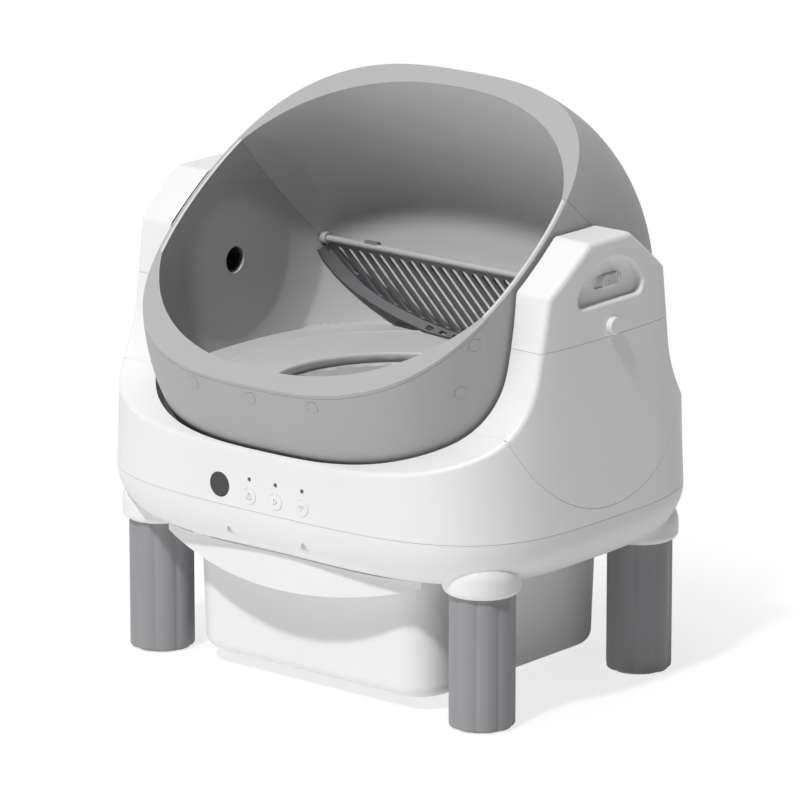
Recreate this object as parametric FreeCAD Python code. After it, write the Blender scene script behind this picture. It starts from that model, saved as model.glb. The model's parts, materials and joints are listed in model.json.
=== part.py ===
import FreeCAD, Part

import math
import os

from FreeCAD import Vector

# Self-cleaning litter box. Millimetres, +Z up, +X to the right of someone who faces the front,
# the front towards -Y. The origin is on the floor, midway between the four legs. The drum turns
# about a line along X, straight above the origin.

# Drum: a barrel of revolution, wide open at the upper front
drum_axis_z = 368.0
drum_radius = 227.6
drum_half_width = 221.0
drum_fullness = 2.88
drum_side_x = 217.0
drum_wall = 2.8
liner_radius = 209.5
liner_half_width = 236.0
liner_fullness = 2.25
rim_tilt = 37.55
rim_height = 97.9
hood_joint_tilt = -45.0
hood_joint_height = 87.4
rim_trim_thickness = 3.0
rim_trim_end = 75.0
seam_gap = 0.4
screw_cover_places = [
    (0.0, 12.0),
    (-74.5, 12.0),
    (74.5, 12.0),
    (-196.0, 40.0),
    (196.0, 40.0),
    (-203.4, 11.0),
    (203.4, 11.0),
]
screw_cover_radius = 6.0
screw_cover_depth = 1.4
screw_cover_proud = 0.1
screw_cover_clearance = 0.3

# Litter bed inside the drum
bed_ledge_z = 281.5
bed_edge_radius = 184.0
bed_step_radius = 171.0
bed_step_drop = 2.0
bed_step_round = 3.0
bed_bead_width = 2.5
bed_bead_height = 1.6
bed_bead_round = 2.0
bed_mouth_z = 275.0
bed_mouth_round = 2.2
bed_wall = 3.0
recess_radius = 127.5
recess_wall = 5.5
recess_groove_depth = 2.5
recess_groove_top_z = 268.5
recess_groove_bottom_z = 264.5
mat_top_z = 262.0
mat_thickness = 3.0
mat_clearance = 0.5

# Sieve grille between bed and hood
grille_bar_y = 121.8
grille_bar_z = 370.0
grille_bar_radius = 3.2
grille_bar_half = 200.6
grille_tilt = 61.5
grille_half_width = 206.0
grille_depth = 104.0
grille_reach = 202.5
grille_thickness = 3.0
grille_floor_gap = 0.6
grille_wall_gap = 1.2
grille_slot_pitch = 13.4
grille_slot_width = 7.4
grille_slot_lean = 19.8
grille_slot_top = 8.0
grille_least_slot = 5.0
grille_edge_band = 17.0
grille_notch = 8.0
grille_notch_pitch = 15.6
grille_notch_height = 6.0
grille_notch_back = 2.0
grille_notches_half = 6
grille_flange_depth = 13.0
grille_flange_wall = 2.5
grille_clip_x = 138.0
grille_clip_length = 18.0
grille_clip_wall = 2.6
grille_boss_radius = 7.5
grille_boss_length = 7.0

# White body: outline in plan, and the side outline of deck and towers
body_half_depth = 204.0
body_fullness = 3.5
seam_z = 190.0
seam_half_width = 265.0
flare_z = 240.0
flare_half_width = 262.2
arm_foot_z = 295.0
arm_half_width = 260.5
shell_wall = 3.0
cavity_radius = 232.5
cavity_half_width = 224.5
cavity_fullness = 2.9
cavity_side_x = 220.0
tower_top_z = 463.6
tower_top_half = 31.1
tower_shoulder_y = 88.0
tower_shoulder_z = 420.2
tower_foot_y = 108.8
tower_foot_z = 298.7
tower_foot_radius = 95.0
tower_corner_radius = 9.0
outer_edge_round = 6.0
grip_edge_round = 3.5
deck_front_y = 207.0
deck_front_z = 247.5
arm_seat_half = 132.0
arm_seat_z = 289.0
arm_seat_bottom_z = 202.0
arm_seat_inner_x = 185.0

# Lower housing
pan_bottom_z = 138.0
pan_curve_depth = 50.0
chute_half_x = 150.0
chute_half_y = 135.0
chute_corner = 30.0
collar_wall = 3.0
seal_width = 4.5
seal_gap = 0.4
pan_screw_x = 47.0
pan_screw_y = 196.0
pan_screw_pocket_radius = 3.3
pan_screw_seat_z = 176.0
screw_boss_wall = 2.4
screw_boss_top_z = 194.0
screw_tip_gap = 0.5
screw_shank_radius = 1.6
screw_head_height = 2.2

# Legs
leg_x = 203.9
leg_y = 121.5
leg_radius = 32.3
leg_crease = 1.7
leg_lobes = 9
leg_turn = -10.0
leg_edge_round = 4.0
leg_bore_radius = 23.0
leg_top_wall = 5.0
leg_spigot_radius = 24.0
leg_spigot_top_z = 158.0
socket_radius = 38.0
socket_bottom_z = 133.0
socket_top_z = 170.0
socket_edge_round = 7.0
socket_dome_round = 20.0
socket_clearance = 0.3
foot_pad_radius = 25.5
foot_pad_thickness = 4.0
foot_pad_proud = 1.0
foot_pad_clearance = 0.3

# Drum bearings and drive
shaft_radius = 18.0
shaft_bore_radius = 13.5
shaft_end_x = 248.0
shaft_end_wall = 3.0
shaft_wall_clearance = 0.8
shaft_end_clearance = 2.0
hub_flange_radius = 45.0
hub_flange_thickness = 2.5
hub_screws = 4
hub_screw_circle = 36.0
hub_screw_gap = 0.1
bush_wall = 6.0
bush_length = 11.6
running_clearance = 0.05
saddle_wall = 9.0
gear_module = 2.0
gear_teeth = 40
pinion_teeth = 14
gear_width = 9.0
gear_x = 237.5
tooth_backlash = 0.5
tooth_foot = 1.25
tooth_root_share = 0.36
tooth_tip_share = 0.14
gearbox_thickness = 11.5
gearbox_half_y = 26.0
gearbox_bottom_z = 272.0
gearbox_top_z = 331.0
gearbox_corner = 6.0
pinion_shaft_gap = 3.0
motor_x = 240.0
motor_radius = 13.5
motor_length = 46.0
motor_gap = 0.3
motor_collar_radius = 5.0
motor_collar_height = 3.0
pinion_shaft_radius = 4.0

# Grip, latch and release button on each tower cap
grip_y = 1.0
grip_bottom_z = 401.5
grip_side_z = 414.0
grip_top_z = 443.5
grip_half_length = 48.5
grip_corner = 8.0
grip_depth = 8.5
grip_wall = 2.4
latch_y = 3.0
latch_z = 420.5
latch_length = 28.0
latch_height = 12.0
latch_travel = 11.0
latch_proud = 3.0
latch_grooves = 5
latch_groove_pitch = 4.3
latch_groove_width = 2.3
latch_groove_depth = 1.2
latch_groove_margin = 1.5
latch_corner_flat = 0.5
latch_clearance = 0.3
latch_plate_margin = 3.0
latch_plate_thickness = 1.5
release_y = 2.0
release_z = 378.2
release_radius = 8.5
release_proud = 6.0
release_clearance = 0.3
release_flange = 2.0
release_edge_round = 1.6

# Control panel
window_x = -54.0
window_z = 209.6
window_radius = 12.4
window_recess = 0.5
button_first_x = -16.0
button_pitch = 33.0
button_z = 204.5
button_radius = 8.0
button_clearance = 0.3
button_proud = 0.6
button_flange = 2.0
button_flange_thickness = 1.0
button_stem_radius = 2.5
button_travel = 1.0
button_edge_round = 0.5
button_stem_gap = 0.2
light_z = 221.2
light_radius = 2.1
light_recess = 0.5
board_front_y = 192.0
board_thickness = 1.6
board_x0 = -75.0
board_x1 = 70.0
board_z0 = 196.0
board_z1 = 224.5
switch_height = 3.2
switch_half = 3.0
switch_plunger_radius = 1.6
switch_plunger_height = 0.8
board_post_radius = 3.5
board_screw_margin = 5.0
board_screw_length = 5.0
board_screw_depth = 6.0
board_screw_head_radius = 2.9
panel_fit = 0.1
panel_hole_back_y = 196.0
socket_half_x = 8.0
socket_half_z = 6.0
socket_depth = 14.0
inlet_radius = 4.0
inlet_pin_radius = 1.0
inlet_floor = 3.0
inlet_z = 212.0

# Waste drawer
drawer_half_x = 150.0
drawer_half_y = 139.0
drawer_flare = 3.0
drawer_corner = 38.0
drawer_bottom_z = 13.0
drawer_top_z = 134.0
drawer_edge_round = 14.0
drawer_wall = 2.5
drawer_flange = 7.0
drawer_flange_thickness = 3.0
drawer_flange_half_y = 95.0
drawer_lip_y = 182.5
drawer_lip_bow = 560.0
drawer_lip_low_z = 109.5
drawer_lip_curve = 520.0
drawer_lip_half = 160.0
drawer_lip_wall = 3.0
drawer_lip_gap = 0.5
drawer_web_half = 112.0
runner_clearance = 0.3
runner_wall = 3.0
runner_ledge = 4.0
runner_half_y = 96.0

big = 400.0
spare = 20.0
hidden_overlap = 1.0


def box(x0, x1, y0, y1, z0, z1):
    """A block between two corners."""
    return Part.makeBox(x1 - x0, y1 - y0, z1 - z0, Vector(x0, y0, z0))


def rod(start, end, radius):
    """A round bar from one point to another."""
    along = end - start
    return Part.makeCylinder(radius, along.Length, start, along)


def fuse(first, *others):
    """One solid from several that touch or overlap."""
    return first.fuse(list(others)).removeSplitter()


def mirror_x(shape):
    """The same piece on the other side of the plane X = 0."""
    return shape.mirror(Vector(0, 0, 0), Vector(1, 0, 0))


def group(shapes):
    """Several equal pieces kept as separate solids of one node."""
    return Part.makeCompound(shapes)


def save(name, shape):
    """Write one sub-part."""
    solids = shape.Solids
    whole = solids[0] if len(solids) == 1 else Part.makeCompound(solids)
    whole.exportStep("parts/" + name + ".step")


def rounded_outline(corners, radii, place):
    """A closed outline of straight lines with a round at each corner.

    corners are (u, v) pairs in order, radii one per corner (0 stays sharp), and place turns a
    (u, v) pair into a point in space.
    """
    edges = []
    ends = []
    count = len(corners)
    for i in range(count):
        here = Vector(corners[i][0], corners[i][1], 0)
        to_last = (Vector(corners[i - 1][0], corners[i - 1][1], 0) - here).normalize()
        after = corners[(i + 1) % count]
        to_next = (Vector(after[0], after[1], 0) - here).normalize()
        if radii[i] == 0:
            ends.append((here, here))
            continue
        half = to_last.getAngle(to_next) / 2
        reach = radii[i] / math.tan(half)
        bisector = (to_last + to_next).normalize()
        middle = here + bisector * (radii[i] / math.sin(half) - radii[i])
        start = here + to_last * reach
        end = here + to_next * reach
        arc = Part.Arc(place(start.x, start.y), place(middle.x, middle.y), place(end.x, end.y))
        edges.append((i, arc.toShape()))
        ends.append((start, end))
    arcs = dict(edges)
    wire = []
    for i in range(count):
        if i in arcs:
            wire.append(arcs[i])
        start = ends[i][1]
        end = ends[(i + 1) % count][0]
        if (end - start).Length > 1e-6:
            wire.append(Part.makeLine(place(start.x, start.y), place(end.x, end.y)))
    return Part.Wire(wire)


def rounded_rectangle(half_x, half_y, corner, z):
    """A horizontal rectangle with round corners."""
    corners = [(half_x, -half_y), (half_x, half_y), (-half_x, half_y), (-half_x, -half_y)]
    return rounded_outline(corners, [corner] * 4, lambda u, v: Vector(u, v, z))


def rounded_block(half_x, half_y, corner, z0, z1):
    """A block with round upright corners."""
    face = Part.Face(rounded_rectangle(half_x, half_y, corner, z0))
    return face.extrude(Vector(0, 0, z1 - z0))


def plan_loop(half_x, half_y, z):
    """A closed horizontal outline: a rounded rectangle by the superellipse formula.

    It starts and ends left of the middle of the rear, where nothing is cut or joined.
    """
    turns = 36
    points = []
    for i in range(turns):
        angle = 2 * math.pi * (i / turns + 0.3125)
        across = abs(math.cos(angle) / half_x) ** body_fullness
        along = abs(math.sin(angle) / half_y) ** body_fullness
        reach = (across + along) ** (-1 / body_fullness)
        points.append(Vector(reach * math.cos(angle), reach * math.sin(angle), z))
    curve = Part.BSplineCurve()
    curve.interpolate(Points=points, PeriodicFlag=True)
    return Part.Wire(curve.toShape())


def barrel(half_width, radius, fullness, side_x):
    """A solid barrel about the drum's axis, cut flat at both sides.

    Its outline is a superellipse: (x / half_width) ^ fullness + (r / radius) ^ fullness = 1.
    """
    end_radius = radius * (1 - (side_x / half_width) ** fullness) ** (1 / fullness)
    first = math.asin((end_radius / radius) ** (fullness / 2))
    steps = 16
    power = 2 / fullness
    points = []
    for i in range(steps + 1):
        angle = math.pi - first - (math.pi - 2 * first) * i / steps
        x = half_width * math.copysign(abs(math.cos(angle)) ** power, math.cos(angle))
        r = radius * math.sin(angle) ** power
        points.append(Vector(x, 0, drum_axis_z + r))
    points[0].x = -side_x
    points[-1].x = side_x
    curve = Part.BSplineCurve()
    curve.interpolate(points)
    left = Vector(-side_x, 0, drum_axis_z)
    right = Vector(side_x, 0, drum_axis_z)
    outline = Part.Wire(
        [
            Part.makeLine(left, points[0]),
            curve.toShape(),
            Part.makeLine(points[-1], right),
            Part.makeLine(right, left),
        ]
    )
    return Part.Face(outline).revolve(left, Vector(1, 0, 0), 360)


def drum_outside(inset=0.0):
    """The drum's outer barrel, or the one a wall thickness further in."""
    return barrel(drum_half_width - inset, drum_radius - inset, drum_fullness, drum_side_x - inset)


def drum_inside(outset=0.0):
    """The drum's visible inner barrel, or one a little further out."""
    side = drum_side_x - 2 * drum_wall + outset
    return barrel(liner_half_width + outset, liner_radius + outset, liner_fullness, side)


def drum_room():
    """The room inside the drum: the inner barrel, kept two walls away from the outer one."""
    return drum_inside().common(drum_outside(2 * drum_wall))


def cavity(outset=0.0):
    """The room that the body leaves for the drum, or its outer skin."""
    return barrel(
        cavity_half_width + outset, cavity_radius + outset, cavity_fullness, cavity_side_x + outset
    )


def tilted_block(tilt, y0, y1, z0, z1):
    """A block measured from the drum's axis, tipped back about that axis."""
    block = box(-big, big, y0, y1, z0, z1)
    block.rotate(Vector(0, 0, 0), Vector(1, 0, 0), tilt)
    block.translate(Vector(0, 0, drum_axis_z))
    return block


def above_rim():
    """Everything in front of the plane of the drum's mouth."""
    return tilted_block(rim_tilt, -big, big, rim_height, rim_height + big)


def under_hood(drop=0.0):
    """Everything on the hood's side of its joint with the bowl."""
    return tilted_block(hood_joint_tilt, -big, big, hood_joint_height - drop, big * 2)


def trim_room(extra):
    """The layer that the front rim trim fills."""
    return tilted_block(rim_tilt, -big, -rim_trim_end, rim_height - rim_trim_thickness - extra, big)


def shaft_line(radius, x0, x1):
    """A round bar on the drum's axis."""
    return rod(Vector(x0, 0, drum_axis_z), Vector(x1, 0, drum_axis_z), radius)


def surface_normal(x, y, z):
    """The outward direction of the drum's outer barrel near a point."""
    r = math.hypot(y, z - drum_axis_z)
    along = (abs(x) / drum_half_width) ** (drum_fullness - 1) / drum_half_width
    across = (r / drum_radius) ** (drum_fullness - 1) / drum_radius
    normal = Vector(math.copysign(along, x), across * y / r, across * (z - drum_axis_z) / r)
    return normal.normalize()


def barrel_radius(x):
    """The drum's outer radius at a distance along its axis."""
    share = 1 - (abs(x) / drum_half_width) ** drum_fullness
    return drum_radius * share ** (1 / drum_fullness)


def cap_places():
    """Where the screw covers lie on the drum's outer wall, each with its outward direction.

    A place is given by x and by how far it lies below the plane of the mouth.
    """
    places = []
    for x, below in screw_cover_places:
        radius = barrel_radius(x)
        height = rim_height - below
        forward = math.sqrt(radius**2 - height**2)
        tilt = math.radians(rim_tilt)
        y = -forward * math.cos(tilt) - height * math.sin(tilt)
        z = drum_axis_z + height * math.cos(tilt) - forward * math.sin(tilt)
        places.append((Vector(x, y, z), surface_normal(x, y, z)))
    return places


def drum_bowl():
    """The drum's outer wall below the hood."""
    skin = drum_outside().cut(drum_outside(drum_wall))
    skin = skin.cut([above_rim(), under_hood(), trim_room(seam_gap)])
    skin = skin.cut(shaft_line(shaft_bore_radius, -big, big))
    pockets = []
    for place, out in cap_places():
        depth = screw_cover_depth
        room = screw_cover_radius + screw_cover_clearance
        pockets.append(rod(place - out * depth, place + out * hidden_overlap, room))
    return skin.cut(pockets)


def screw_covers():
    """Small round covers over the screws that hold the drum's two walls together."""
    covers = []
    for place, out in cap_places():
        foot = place - out * screw_cover_depth
        covers.append(rod(foot, place + out * screw_cover_proud, screw_cover_radius))
    return group(covers)


def bed_section():
    """Half the cross-section of the litter bed, from its middle outwards, with its rounds."""
    mat_seat_z = mat_top_z - mat_thickness
    groove_radius = recess_radius + recess_groove_depth
    bead_top_z = bed_ledge_z + bed_bead_height
    profile = [
        (0, mat_seat_z, 0),
        (recess_radius, mat_seat_z, 0),
        (recess_radius, recess_groove_bottom_z, 0),
        (groove_radius, recess_groove_bottom_z, 0),
        (groove_radius, recess_groove_top_z, 0),
        (recess_radius, recess_groove_top_z, 0),
        (recess_radius, bed_mouth_z, bed_mouth_round),
        (bed_step_radius, bed_ledge_z - bed_step_drop, bed_step_round),
        (bed_edge_radius, bed_ledge_z, bed_step_round),
        (bed_edge_radius + bed_bead_width, bead_top_z, bed_bead_round),
        (bed_edge_radius + 2 * bed_bead_width, bed_ledge_z, bed_bead_round),
        (big, bed_ledge_z, 0),
        (big, bed_ledge_z - bed_wall, 0),
        (bed_edge_radius, bed_ledge_z - bed_step_drop - bed_wall, 0),
        (recess_radius + recess_wall, bed_mouth_z - bed_wall, 0),
        (recess_radius + recess_wall, mat_seat_z - bed_wall, 0),
        (0, mat_seat_z - bed_wall, 0),
    ]
    corners = [(r, z) for r, z, _ in profile]
    radii = [radius for _, _, radius in profile]
    outline = rounded_outline(corners, radii, lambda u, v: Vector(u, 0, v))
    return Part.Face(outline)


def drum_liner():
    """The drum's inner wall and, in one piece with it, the litter bed with its round recess."""
    block = drum_inside(drum_wall).common(drum_outside(drum_wall))
    block = block.cut([above_rim(), under_hood(), trim_room(0)])
    wall = block.cut(drum_room()).common(box(-big, big, -big, big, bed_ledge_z - bed_wall, big * 2))
    bed = bed_section().revolve(Vector(0, 0, 0), Vector(0, 0, 1), 360).common(block)
    return fuse(wall, bed).cut(shaft_line(shaft_bore_radius, -big, big))


def drum_hood():
    """The hood: outer and inner wall of the drum's upper rear, joined by the rim."""
    block = drum_outside().common(under_hood(-seam_gap)).cut(above_rim())
    rim_layer = tilted_block(rim_tilt, -big, big, rim_height - rim_trim_thickness, big * 2)
    hollow = drum_outside(drum_wall).cut([drum_inside(drum_wall), rim_layer])
    return block.cut([drum_room(), hollow])


def rim_trim():
    """The flat light band that closes the gap between the two walls at the front of the mouth."""
    layer = drum_outside().common(trim_room(0)).cut(above_rim())
    return layer.cut(drum_room())


def bed_mat():
    """The loose round mat in the recess of the bed."""
    return rod(
        Vector(0, 0, mat_top_z - mat_thickness),
        Vector(0, 0, mat_top_z),
        recess_radius - mat_clearance,
    )


def grille_place(x, s, m=0.0):
    """A point of the grille: x across, s down from the bar, m out of its plane."""
    tilt = math.radians(grille_tilt)
    return Vector(
        x,
        grille_bar_y + s * math.cos(tilt) + m * math.sin(tilt),
        grille_bar_z - s * math.sin(tilt) + m * math.cos(tilt),
    )


def grille_plate(outline, thickness):
    """A flat plate of the grille from its closed outline, thickness centred on the grille's plane."""
    lift = grille_place(0, 0, thickness / 2) - grille_place(0, 0, -thickness / 2)
    return Part.Face(outline).extrude(lift)


def half_ellipse(half_width, depth, thickness):
    """The outline of the grille's panel: a half ellipse hanging from the bar."""
    steps = 12
    points = []
    for i in range(steps + 1):
        angle = math.pi * i / steps
        points.append(
            grille_place(half_width * math.cos(angle), depth * math.sin(angle), -thickness / 2)
        )
    curve = Part.BSplineCurve()
    curve.interpolate(points)
    return Part.Wire([curve.toShape(), Part.makeLine(points[-1], points[0])])


def grille_slots():
    """The slanting slots, round at the top and cut off where the solid edge band begins."""
    lean = math.radians(grille_slot_lean)
    half = grille_slot_width / 2
    deep = grille_thickness * 3
    inner_width = grille_half_width - grille_edge_band
    inner_depth = grille_depth - grille_edge_band
    window = grille_plate(half_ellipse(inner_width, inner_depth, deep), deep)
    slots = []
    count = int(grille_half_width / grille_slot_pitch) + 1
    for i in range(-count, count):
        top_x = (i + 0.5) * grille_slot_pitch - grille_depth * math.tan(lean) / 2
        low_x = top_x + grille_depth * math.tan(lean)
        top_s = grille_slot_top + half
        if top_x < -inner_width or top_x > inner_width:
            continue
        corners = [
            grille_place(top_x - half, top_s, -deep / 2),
            grille_place(low_x - half, grille_depth + top_s, -deep / 2),
            grille_place(low_x + half, grille_depth + top_s, -deep / 2),
            grille_place(top_x + half, top_s, -deep / 2),
        ]
        crown = grille_place(top_x, top_s - half, -deep / 2)
        runs = [Part.makeLine(corners[k], corners[k + 1]) for k in range(3)]
        end = Part.Arc(corners[3], crown, corners[0]).toShape()
        slots.append(grille_plate(Part.Wire(runs + [end]), deep).common(window))
    return [slot for slot in slots if slot.Volume > grille_least_slot]


def grille_flange():
    """The band that runs back from the panel's curved edge to the drum's wall, with square gaps."""
    outer = half_ellipse(grille_half_width, grille_depth, grille_thickness)
    inset = grille_flange_wall
    inner = half_ellipse(grille_half_width - inset, grille_depth - inset, grille_thickness)
    back = grille_place(0, 0, -grille_flange_depth) - grille_place(0, 0, 0)
    band = Part.Face(outer).extrude(back).cut(Part.Face(inner).extrude(back * 2))
    gaps = []
    half = grille_notch / 2
    low_m = grille_notch_back - grille_flange_depth
    rise = back * (-grille_notch_height / grille_flange_depth)
    for i in range(-grille_notches_half, grille_notches_half + 1):
        x = i * grille_notch_pitch
        edge_s = grille_depth * math.sqrt(1 - (x / grille_half_width) ** 2)
        corners = [
            grille_place(x - half, edge_s - grille_notch, low_m),
            grille_place(x + half, edge_s - grille_notch, low_m),
            grille_place(x + half, edge_s + grille_notch, low_m),
            grille_place(x - half, edge_s + grille_notch, low_m),
        ]
        gaps.append(Part.Face(Part.makePolygon(corners + [corners[0]])).extrude(rise))
    return band.cut(gaps)


def sieve_grille():
    """The sieve: a bar across the drum and a slotted panel that hangs from it to the bed."""
    panel = grille_plate(
        half_ellipse(grille_half_width, grille_depth, grille_thickness), grille_thickness
    )
    panel = panel.cut(grille_slots()).fuse(grille_flange())
    panel = panel.common(drum_inside(-grille_wall_gap))
    panel = panel.common(drum_outside(2 * drum_wall + grille_wall_gap))
    panel = panel.common(
        box(-grille_reach, grille_reach, 0, big, bed_ledge_z + grille_floor_gap, big)
    )
    bar = rod(
        Vector(-grille_bar_half, grille_bar_y, grille_bar_z),
        Vector(grille_bar_half, grille_bar_y, grille_bar_z),
        grille_bar_radius,
    )
    pieces = [bar]
    for side in (-1, 1):
        x0 = side * grille_clip_x - grille_clip_length / 2
        clip = rod(
            Vector(x0, grille_bar_y, grille_bar_z),
            Vector(x0 + grille_clip_length, grille_bar_y, grille_bar_z),
            grille_bar_radius + grille_clip_wall,
        )
        boss = rod(
            Vector(side * (grille_bar_half - grille_boss_length), grille_bar_y, grille_bar_z),
            Vector(side * grille_bar_half, grille_bar_y, grille_bar_z),
            grille_boss_radius,
        )
        pieces.append(clip)
        pieces.append(boss.common(drum_inside(-grille_wall_gap)))
    return fuse(panel, *pieces)


def trunnion(side):
    """The stub axle on one side of the drum: a flange screwed to the wall and a blind hollow shaft."""
    flange = shaft_line(hub_flange_radius, drum_side_x, drum_side_x + hub_flange_thickness)
    shaft = shaft_line(shaft_radius, drum_side_x, shaft_end_x)
    axle = fuse(flange, shaft).cut(shaft_line(shaft_bore_radius, 0, shaft_end_x - shaft_end_wall))
    for place in hub_screw_places():
        hole = rod(place, place + Vector(big, 0, 0), screw_shank_radius)
        axle = axle.cut(hole)
    return axle if side > 0 else mirror_x(axle)


def hub_screw_places():
    """The screws of one hub flange, on a circle about the axis."""
    places = []
    for i in range(hub_screws):
        angle = 2 * math.pi * (i + 0.5) / hub_screws
        y = hub_screw_circle * math.cos(angle)
        z = drum_axis_z + hub_screw_circle * math.sin(angle)
        places.append(Vector(drum_side_x, y, z))
    return places


def bush(side):
    """A plain bearing ring round the stub axle."""
    x0 = cavity_side_x + shell_wall + seam_gap
    inner = shaft_radius + running_clearance
    ring = shaft_line(inner + bush_wall, x0, x0 + bush_length)
    ring = ring.cut(shaft_line(inner, x0, x0 + bush_length))
    return ring if side > 0 else mirror_x(ring)


def gear(teeth, width, bore):
    """A spur gear with straight-flanked teeth, its axis along X, centred on the origin."""
    pitch = gear_module * teeth / 2
    tip = pitch + gear_module
    root = pitch - tooth_foot * gear_module
    points = []
    for i in range(teeth):
        middle = 2 * math.pi * i / teeth
        for radius, share in (
            (root, -tooth_root_share),
            (tip, -tooth_tip_share),
            (tip, tooth_tip_share),
            (root, tooth_root_share),
        ):
            angle = middle + share * 2 * math.pi / teeth
            points.append(Vector(0, radius * math.cos(angle), radius * math.sin(angle)))
    disc = Part.Face(Part.makePolygon(points + [points[0]])).extrude(Vector(width, 0, 0))
    return disc.cut(rod(Vector(0, 0, 0), Vector(width, 0, 0), bore))


def drum_gear():
    """The large gear at the end of the right stub axle."""
    wheel = gear(gear_teeth, gear_width, shaft_radius + running_clearance)
    wheel.translate(Vector(gear_x, 0, drum_axis_z))
    return wheel


def pinion_z():
    """The height of the small gear's axis, straight below the large gear."""
    return drum_axis_z - gear_module * (gear_teeth + pinion_teeth) / 2 - tooth_backlash


def pinion():
    """The small driving gear with its shaft; a tooth gap faces the large gear's tooth."""
    wheel = gear(pinion_teeth, gear_width, running_clearance)
    wheel.rotate(Vector(0, 0, 0), Vector(1, 0, 0), 90 + 180 / pinion_teeth)
    wheel.translate(Vector(gear_x, 0, pinion_z()))
    x0 = cavity_side_x + shell_wall + pinion_shaft_gap
    end = Vector(gear_x + gear_width, 0, pinion_z())
    shaft = rod(Vector(x0, 0, pinion_z()), end, pinion_shaft_radius)
    return fuse(wheel, shaft)


def gearbox():
    """The closed reduction gearbox on the right arm's inner wall, bored for the small gear's shaft."""
    x0 = cavity_side_x + shell_wall
    body = box(
        x0, x0 + gearbox_thickness, -gearbox_half_y, gearbox_half_y, gearbox_bottom_z, gearbox_top_z
    )
    upright = [edge for edge in body.Edges if abs(edge.tangentAt(edge.FirstParameter).x) > 0.99]
    body = body.makeFillet(gearbox_corner, upright)
    bore = rod(
        Vector(x0 + pinion_shaft_gap - running_clearance, 0, pinion_z()),
        Vector(x0 + gearbox_thickness, 0, pinion_z()),
        pinion_shaft_radius + running_clearance,
    )
    return body.cut(bore)


def gear_motor():
    """The small motor that hangs under the gearbox, with its end collar."""
    top = gearbox_bottom_z - motor_gap
    foot = top - motor_length
    can = rod(Vector(motor_x, 0, foot), Vector(motor_x, 0, top), motor_radius)
    collar = rod(
        Vector(motor_x, 0, foot - motor_collar_height), Vector(motor_x, 0, foot), motor_collar_radius
    )
    return fuse(can, collar)


def tower_outline(z0):
    """The side outline of deck and towers, seen along X, from z0 up."""
    lift = deck_front_z - z0
    half = [
        (deck_front_y, z0, 0),
        (deck_front_y, z0 + lift, 0),
        (tower_foot_y, tower_foot_z, tower_foot_radius),
        (tower_shoulder_y, tower_shoulder_z, tower_corner_radius),
        (tower_top_half, tower_top_z, tower_corner_radius),
    ]
    other = [(-y, z, r) for y, z, r in reversed(half)]
    every = half + other
    corners = [(y, z) for y, z, r in every]
    radii = [r for y, z, r in every]
    return rounded_outline(corners, radii, lambda u, v: Vector(-big, u, v))


def tower_prism(inset=0.0):
    """The side outline carried right through along X, or one a wall further in and open below."""
    foot_z = pan_bottom_z if inset else seam_z + seam_gap
    face = Part.Face(tower_outline(foot_z))
    if inset:
        face = face.makeOffset2D(-inset)
    return face.extrude(Vector(2 * big, 0, 0))


def plan_tower(inset=0.0):
    """The upright body of the housing: the plan outline, widest at the seam."""
    levels = [
        (seam_z, seam_half_width),
        (flare_z, flare_half_width),
        (arm_foot_z, arm_half_width),
        ((arm_foot_z + tower_top_z) / 2, arm_half_width),
        (tower_top_z + spare, arm_half_width),
    ]
    loops = [plan_loop(half - inset, body_half_depth - inset, z) for z, half in levels]
    return Part.makeLoft(loops, True, False)


def arm_seat(outset=0.0):
    """The U-shaped piece of the right side that the arm fills, open to the top."""
    half = arm_seat_half + outset
    low = arm_seat_bottom_z - outset
    left = Vector(0, -half, arm_seat_z)
    right = Vector(0, half, arm_seat_z)
    top = tower_top_z + spare
    outline = Part.Wire(
        [
            Part.Arc(left, Vector(0, 0, low), right).toShape(),
            Part.makeLine(right, Vector(0, half, top)),
            Part.makeLine(Vector(0, half, top), Vector(0, -half, top)),
            Part.makeLine(Vector(0, -half, top), left),
        ]
    )
    prism = Part.Face(outline).extrude(Vector(big, 0, 0))
    prism.translate(Vector(arm_seat_inner_x - outset, 0, 0))
    return prism


def white_body(inset=0.0):
    """The white body above the seam, less the room for the drum, or the hollow inside its walls."""
    block = plan_tower(inset).common(tower_prism(inset))
    if not inset:
        block = block.makeFillet(outer_edge_round, outer_rim(block))
    return block.cut(cavity(inset))


def outer_rim(block):
    """The curved edges above the seam, along which the side outline meets the outer wall."""
    rim = []
    for edge in block.Edges:
        foot = min(vertex.Z for vertex in edge.Vertexes)
        if foot > seam_z + hidden_overlap and edge.Curve.TypeId != "Part::GeomLine":
            rim.append(edge)
    return rim


def chute_block(outset, z0, z1):
    """The room of the chute, or of the collar round it."""
    return rounded_block(chute_half_x + outset, chute_half_y + outset, chute_corner + outset, z0, z1)


def button_places():
    """The centres of the three buttons."""
    return [button_first_x + i * button_pitch for i in range(3)]


def along_y(x, z, radius, y0, y1):
    """A round bar parallel to Y."""
    return rod(Vector(x, y0, z), Vector(x, y1, z), radius)


def pan_screw_spots():
    """The four screws that join the two halves of the housing."""
    return [(sx * pan_screw_x, sy * pan_screw_y) for sx in (-1, 1) for sy in (-1, 1)]


def board_screw_spots():
    """The four corners of the circuit board."""
    margin = board_screw_margin
    return [
        (x, z)
        for x in (board_x0 + margin, board_x1 - margin)
        for z in (board_z0 + margin, board_z1 - margin)
    ]


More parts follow.
